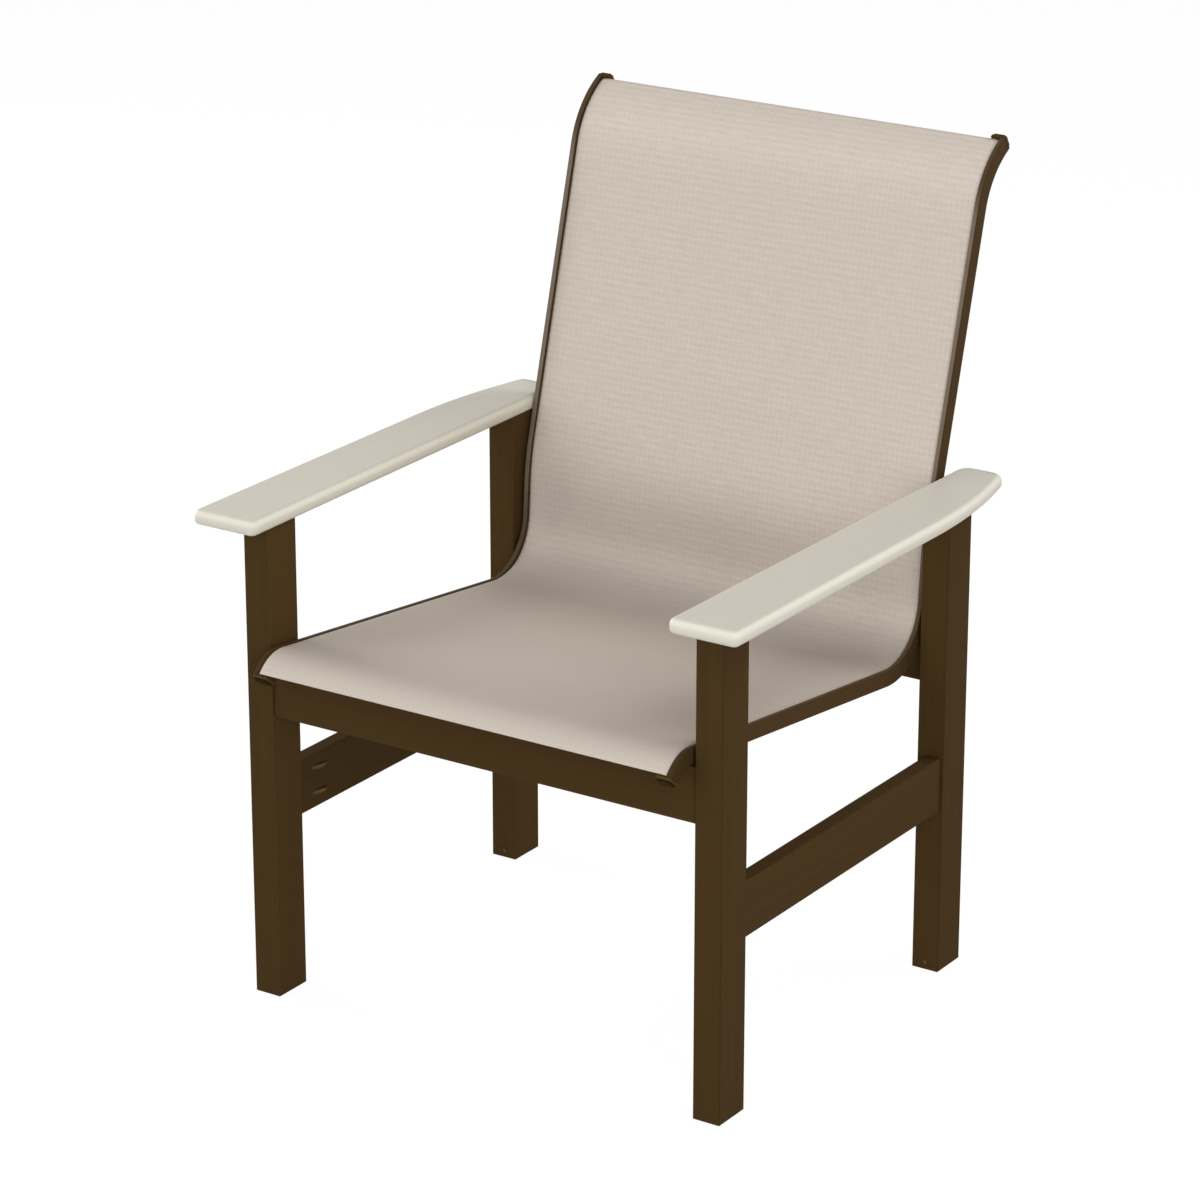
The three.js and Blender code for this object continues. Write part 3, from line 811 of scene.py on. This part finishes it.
def sling_cloth():
    """The cloth's mesh, with its columns crowded at the edges, and its flat size."""
    half_width = rail_outer - lip_width + cloth_edge_in_slot
    first, last = sling_to_rail_end, rail_length - sling_to_rail_end
    bm = bmesh.new()
    bmesh.ops.create_grid(bm, x_segments=cloth_columns, y_segments=cloth_rows, size=0.5)
    for vertex in bm.verts:
        from_middle = min(abs(vertex.co.x) * 2, 1.0)
        spread = 1 - (1 - from_middle) ** column_crowding
        vertex.co.x = math.copysign(half_width * spread, vertex.co.x)
        vertex.co.y = first + (last - first) * (vertex.co.y + 0.5)
    threads = bm.loops.layers.uv.new("threads")
    for face in bm.faces:
        for loop in face.loops:
            loop[threads].uv = (loop.vert.co.x, loop.vert.co.y)
    for vertex in bm.verts:
        vertex.co.z = -cloth_depth(vertex.co.x, vertex.co.y)
    bend_to_chair(bm)
    return bm, (2 * half_width, last - first)


def maths(paint, operation, *values):
    node = add_node(paint, "ShaderNodeMath")
    node.operation = operation
    for socket, value in zip(node.inputs, values):
        feed(paint, socket, value)
    return node.outputs["Value"]


def weave(name, colour):
    """Slubbed ribs across the cloth and a fine grid of yarns, read from its own map in metres."""
    material, shader = new_material(name, colour, roughness=0.7, specular=0.2)
    threads = add_node(material, "ShaderNodeUVMap")
    threads.uv_map = "threads"
    place = threads.outputs["UV"]
    axes = add_node(material, "ShaderNodeSeparateXYZ", Vector=place)
    along = axes.outputs["Y"]

    def bands(direction, pitch):
        scale = unit_wave / pitch
        wave = add_node(material, "ShaderNodeTexWave", Vector=place, Scale=scale, Distortion=0.0)
        wave.wave_type = "BANDS"
        wave.bands_direction = direction
        return wave.outputs["Fac"]

    def slubs(width, length):
        scale = (1 / width, 1 / length, 1)
        sized = add_node(material, "ShaderNodeMapping", Vector=place, Scale=scale)
        blots = add_node(
            material, "ShaderNodeTexNoise", Vector=sized.outputs["Vector"], Scale=1.0, Detail=2
        )
        return blots.outputs["Fac"]

    def blended(patterns, weights):
        total = 0.0
        for pattern, weight in zip(patterns, weights):
            total = maths(material, "MULTIPLY_ADD", pattern, weight, total)
        return total

    def span_share(value, span, interpolation="SMOOTHSTEP", first=0.0, last=1.0):
        spanned = add_node(
            material,
            "ShaderNodeMapRange",
            Value=value,
            From_Min=span[0],
            From_Max=span[1],
            To_Min=first,
            To_Max=last,
        )
        spanned.interpolation_type = interpolation
        return spanned.outputs["Result"]

    ribs, columns = bands("Y", rib_pitch), bands("X", column_pitch)
    weft, warp = bands("Y", rib_pitch / yarns_in_rib), bands("X", column_pitch / yarns_in_column)
    weft_slubs, warp_slubs = slubs(*weft_slub), slubs(*warp_slub)
    patterns = (ribs, columns, weft_slubs, warp_slubs, weft, warp)
    woven = shade_ramp(material, blended(patterns, pattern_weights), colour, weave_contrast)
    on_seat = span_share(along, seat_blend, "LINEAR", first=1.0, last=0.0)
    flattened = maths(material, "MULTIPLY", on_seat, worn_flat)
    sat_on = mix_colours(material, flattened, woven, (*colour, 1))
    # Painted light and shade along the sling, from its table.
    from_tip = maths(material, "DIVIDE", along, rail_length)
    painted_shade_ramp = add_node(material, "ShaderNodeValToRGB", Fac=from_tip)
    stops = painted_shade_ramp.color_ramp.elements
    while len(stops) < len(painted_shades_along_sling):
        stops.new(0.5)
    for stop, (distance, level) in zip(stops, painted_shades_along_sling):
        stop.position = distance / rail_length
        stop.color = (level, level, level, 1)
    painted_along = mix_colours(material, 1.0, sat_on, painted_shade_ramp.outputs["Color"], "MULTIPLY")
    # Painted shade on the seat beside the rails.
    near_rail = span_share(maths(material, "ABSOLUTE", axes.outputs["X"]), edge_shade_span)
    behind_front = span_share(along, front_edge_shade_span)
    rail_side = maths(material, "MULTIPLY", near_rail, behind_front)
    seat_edge = maths(material, "MULTIPLY", rail_side, on_seat)
    edge_grey = (edge_shade, edge_shade, edge_shade, 1)
    shaded = mix_colours(material, seat_edge, painted_along, edge_grey, "MULTIPLY")
    feed(material, shader.inputs["Base Color"], shaded)
    yarns = maths(material, "MULTIPLY", weft, warp)
    relief = blended((yarns, weft_slubs), (weave_relief_share, weave_relief_share))
    emboss(material, shader, relief, weave_relief, strength=weave_relief_share)
    return material


cloth_bm, cloth_size = sling_cloth()
sling = finish_mesh("woven_sling", cloth_bm, weave("sand_weave", sand), ["sling_fabric"])
thicken = sling.modifiers.new("thickness", "SOLIDIFY")
thicken.thickness = cloth_thickness
thicken.offset = -1

# Splines
# Round plastic cords lie in the rails' channels behind the cloth's sewn edges. Only their ends
# could show, and the caps cover those.
def dress(node, material):
    """Gives a CAD node that stays its finish."""
    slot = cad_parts[node].material_slots[0]
    slot.link = "OBJECT"
    slot.material = material


for side in SIDES:
    dress(f"{side}_spline", cap_plastic)

# Spreader bars
# Two aluminium tubes hold the rails apart against the sling's pull: one under the seat and one
# behind the shoulders. Their ends are pressed flat into tongues that lie over the rails.
spreader_half_width = 0.0125
spreader_tube_front = 0.0102
spreader_lift = 0.0003
spreader_tongue = 0.003
spreader_round = 0.0055
tongue_round = 0.0012
tongue_corner = 0.004
tongue_corner_steps = 6
tongue_corner_step = math.radians(15)
pressed_length = 0.011
pressed_steps = 8
spreader_to_edge = 0.004
seat_spreader_place = 0.125
back_spreader_below_top = 0.165


def on_run(run, from_corner):
    """The distance along the line of a point that lies past the first corner of a straight run."""
    turn = abs(run_angles[run] - run_angles[run - 1])
    straight_start = sum(length for length, _, _ in stretches[: 2 * run])
    return straight_start + from_corner - bend_radii[run - 1] * math.tan(turn / 2)


def rounded_ring(bm, x, half_width, front, back, corner, segments=6):
    """A rounded rectangle across a bar that lies sideways: Y along the rail, Z back from its lip."""
    ring = []
    for quarter, (side_y, side_z) in enumerate(((1, 1), (-1, 1), (-1, -1), (1, -1))):
        centre_y = side_y * (half_width - corner)
        centre_z = (front + back) / 2 + side_z * ((back - front) / 2 - corner)
        for step in range(segments + 1):
            turn = math.pi / 2 * (quarter + step / segments)
            y = centre_y + corner * math.cos(turn)
            z = centre_z + corner * math.sin(turn)
            ring.append(bm.verts.new((x, y, z)))
    return ring


def spreader_bar(distance):
    """One spreader: its rings are set out from its middle to the tongue's end, then mirrored."""
    tongue_end = rail_outer - spreader_to_edge
    pressed_end = rail_outer - rail_width - spreader_lift
    tube_front = rail_depth - spreader_tube_front
    flat_front = rail_depth + spreader_lift
    back = flat_front + spreader_tongue
    half = [(0.0, spreader_half_width, tube_front, spreader_round)]
    for step in range(pressed_steps + 1):
        share = ease(step, 0, pressed_steps)
        x = pressed_end - pressed_length * (1 - step / pressed_steps)
        front = tube_front + (flat_front - tube_front) * share
        corner = spreader_round + (tongue_round - spreader_round) * share
        half.append((x, spreader_half_width, front, corner))
    for step in range(tongue_corner_steps):
        turn = tongue_corner_step * step
        x = tongue_end - tongue_corner * (1 - math.sin(turn))
        half_width = spreader_half_width - tongue_corner * (1 - math.cos(turn))
        half.append((x, half_width, flat_front, tongue_round))
    stations = [(-x, *rest) for x, *rest in reversed(half[1:])] + half
    bm = bmesh.new()
    rings = [rounded_ring(bm, x, width, front, back, corner) for x, width, front, corner in stations]
    for near, far in zip(rings, rings[1:]):
        for i in range(len(near)):
            bm.faces.new((near[i - 1], near[i], far[i], far[i - 1]))
    bm.faces.new(rings[0])
    bm.faces.new(rings[-1])
    point, angle = on_sling_line(distance)
    for vertex in bm.verts:
        along, behind = vertex.co.y, vertex.co.z
        turned = point + heading(angle) * along - heading(angle + math.pi / 2) * behind
        vertex.co = Vector((vertex.co.x, turned.y, turned.z))
    return bm


spreaders = {
    "seat_spreader": on_run(1, seat_spreader_place),
    "back_spreader": on_run(3, upper_back_length + head_length - back_spreader_below_top),
}
for node, distance in spreaders.items():
    finish_mesh(f"{node}_tube", spreader_bar(distance), coat, [node])

# Screws, bolts and studs
# Stainless fasteners with round heads: square-drive pocket screws in the boards, socket bolts that
# hang the rails on the posts, and short screws in the spreaders.
steel_grey = (0.40, 0.39, 0.37)
steel_relief = 0.00002
fastener_sides = 32
fastener_weld = 0.000005
head_shoulder_share = 0.3
pocket_screw = {
    "head_radius": 0.004,
    "head_height": 0.0026,
    "radius": 0.0021,
    "length": 0.040,
    "drive_radius": 0.0016,
    "drive_sides": 4,
}
hanging_bolt = {
    "head_radius": 0.0046,
    "head_height": 0.0028,
    "radius": 0.0025,
    "drive_radius": 0.0018,
    "drive_sides": 6,
}
spreader_screw = {
    "head_radius": 0.004,
    "head_height": 0.0024,
    "radius": 0.0021,
    "length": 0.011,
    "drive_radius": 0.0016,
    "drive_sides": 6,
}
spreader_screw_in = 0.01415
spreader_screw_clearance = 0.0003
stainless, stainless_shader = new_material(
    "brushed_stainless", steel_grey, roughness=0.38, specular=0.5
)
stainless_shader.inputs["Metallic"].default_value = 1.0
emboss(stainless, stainless_shader, noise(stainless, scale=2500, detail=2), steel_relief)


def fastener(node, seat, run, head_radius, head_height, radius, length, drive_radius, drive_sides):
    """A turned screw with its head's underside on the seat, and a drive as deep as the head."""
    dome = head_height / 2
    shoulder = head_shoulder_share * dome
    profile = (
        (0, -head_height),
        (head_radius - dome, -head_height),
        (head_radius - shoulder, shoulder - head_height),
        (head_radius, dome - head_height),
        (head_radius, 0),
        (radius, 0),
        (radius, length - radius),
        (0, length),
    )
    bm = bmesh.new()
    line = [bm.verts.new((out, 0, down)) for out, down in profile]
    edges = [bm.edges.new(pair) for pair in zip(line, line[1:])]
    bmesh.ops.spin(
        bm,
        geom=line + edges,
        cent=(0, 0, 0),
        axis=axis_vector(Z),
        angle=2 * math.pi,
        steps=fastener_sides,
        use_merge=True,
        use_duplicate=False,
    )
    bmesh.ops.remove_doubles(bm, verts=bm.verts, dist=fastener_weld)
    bmesh.ops.recalc_face_normals(bm, faces=bm.faces)
    drive = bmesh.new()
    above = axis_vector(Z, -head_height - dome)
    add_cylinder(drive, above, axis_vector(Z), drive_radius, dome + head_height, drive_sides)
    bm = cut(bm, drive)
    turn = run.to_track_quat("Z", "Y").to_matrix().to_4x4()
    bmesh.ops.transform(bm, matrix=Matrix.Translation(seat) @ turn, verts=bm.verts)
    finish_mesh(f"{node}_turned", bm, stainless, [node])


for node, (seat, run) in pocket_screws.items():
    fastener(node, seat, run, **pocket_screw)
for side, x in SIDES.items():
    for end in ENDS:
        node = f"{side}_rail_{end}_bolt"
        low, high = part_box(node)
        head_height = hanging_bolt["head_height"]
        seat = (low + high) / 2
        seat.x = x * (min(abs(low.x), abs(high.x)) + head_height)
        length = high.x - low.x - head_height
        fastener(node, seat, axis_vector(X, x), length=length, **hanging_bolt)
        dress(f"{end}_{side}_arm_stud", stainless)
for bar, distance in spreaders.items():
    point, angle = on_sling_line(distance)
    run = heading(angle + math.pi / 2)
    seat = point - run * (rail_depth + spreader_lift + spreader_tongue + spreader_screw_clearance)
    for side, x in SIDES.items():
        seat.x = x * (rail_outer - spreader_screw_in)
        fastener(f"{bar}_{side}_screw", seat, run, **spreader_screw)

# Spacers and glides
# Small round plastic spacers hold each rail off its post. A glide is pressed into each foot, with a
# rounded rim and the dimple of its moulding.
spacer_edge = 0.0005
glide_edge = 0.0007
dimple_radius = 0.0022
dimple_slope = 0.0006
dimple_depth = 0.0003


def moulded_disc(node, axis, edge):
    """A disc in the CAD node's box, about one axis, with rounded rims and a dimpled low face."""
    low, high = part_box(node)
    start = (low + high) / 2
    start[axis] = low[axis]
    across = (axis + 1) % 3
    radius = (high[across] - low[across]) / 2
    bm = bmesh.new()
    add_cylinder(bm, start, axis_vector(axis), radius, high[axis] - low[axis])
    rims = lying_at(bm.edges, axis, low[axis]) + lying_at(bm.edges, axis, high[axis])
    round_edges(bm, rims, edge, segments=4)
    bottom = lying_at(bm.faces, axis, low[axis], within=edge / 10)
    for inset in (radius - edge - dimple_radius, dimple_slope):
        bmesh.ops.inset_region(bm, faces=bottom, thickness=inset, depth=0.0)
    bmesh.ops.translate(bm, vec=axis_vector(axis, dimple_depth), verts=corners_of(bottom))
    return bm


for side in SIDES:
    for end in ENDS:
        spacer, glide = f"{side}_rail_{end}_spacer", f"{end}_{side}_glide"
        for node, axis, edge in ((spacer, X, spacer_edge), (glide, Z, glide_edge)):
            disc = moulded_disc(node, axis, edge)
            finish_mesh(f"{node}_disc", disc, cap_plastic, [node])

# Floor and light
# A plain white floor under a white studio. Seven broad lamps stand round the chair and light it
# softly, most from the front, and the floor keeps a faint shadow.
floor_reach = 30
floor_grey = (0.72, 0.72, 0.72)
floor_glow = 1.063
floor_glow_share = 0.90
studio_white = (1, 1, 1, 1)
studio_light = 0.25
lamp_size = 2.4
lamp_distance = 4.6
lamp_aim = Vector((0, -0.05, 0.5))
lamps = {
    "front_lamp": (-25, 10, 37),
    "front_left_lamp": (-45, 40, 22),
    "front_right_lamp": (45, 10, 73),
    "front_right_high_lamp": (45, 40, 35),
    "left_lamp": (-90, 10, 140),
    "rear_left_lamp": (-135, 35, 16),
    "rear_right_lamp": (135, 35, 71),
}


def show_white(paint, lit, white, white_share, output):
    """Shows white to the rays that look straight at it or by a reflection, and lit to all others."""
    rays = add_node(paint, "ShaderNodeLightPath").outputs
    looking = rays["Is Camera Ray"]
    for ray in ("Is Glossy Ray", "Is Transmission Ray"):
        looking = maths(paint, "MAXIMUM", looking, rays[ray])
    share = maths(paint, "MULTIPLY", looking, white_share)
    blend = add_node(paint, "ShaderNodeMixShader", Fac=share)
    feed(paint, blend.inputs[1], lit)
    feed(paint, blend.inputs[2], white)
    add_node(paint, output, Surface=blend.outputs["Shader"])


floor_bm = bmesh.new()
bmesh.ops.create_grid(floor_bm, x_segments=1, y_segments=1, size=floor_reach)
floor_mesh = bpy.data.meshes.new("studio_floor")
floor_bm.to_mesh(floor_mesh)
floor_bm.free()
floor = bpy.data.objects.new("studio_floor", floor_mesh)
bpy.context.scene.collection.objects.link(floor)
floor_paint = bpy.data.materials.new("studio_floor")
floor_paint.use_nodes = True
floor_paint.node_tree.nodes.clear()
matt = add_node(floor_paint, "ShaderNodeBsdfDiffuse", Color=(*floor_grey, 1)).outputs["BSDF"]
glow = add_node(floor_paint, "ShaderNodeEmission", Color=studio_white, Strength=floor_glow)
show_white(
    floor_paint, matt, glow.outputs["Emission"], floor_glow_share, "ShaderNodeOutputMaterial"
)
floor_mesh.materials.append(floor_paint)

world = bpy.data.worlds.new("studio")
bpy.context.scene.world = world
world.use_nodes = True
world.node_tree.nodes.clear()
skies = [
    add_node(world, "ShaderNodeBackground", Color=studio_white, Strength=strength)
    for strength in (studio_light, 1.0)
]
show_white(world, *[sky.outputs["Background"] for sky in skies], 1.0, "ShaderNodeOutputWorld")

for name, (turn, height, watts) in lamps.items():
    light = bpy.data.lights.new(name, "AREA")
    light.size = lamp_size
    light.energy = watts
    lamp = bpy.data.objects.new(name, light)
    stand_off(lamp, lamp_aim, math.radians(turn), math.radians(height), lamp_distance)

bpy.context.scene.view_settings.view_transform = "Standard"
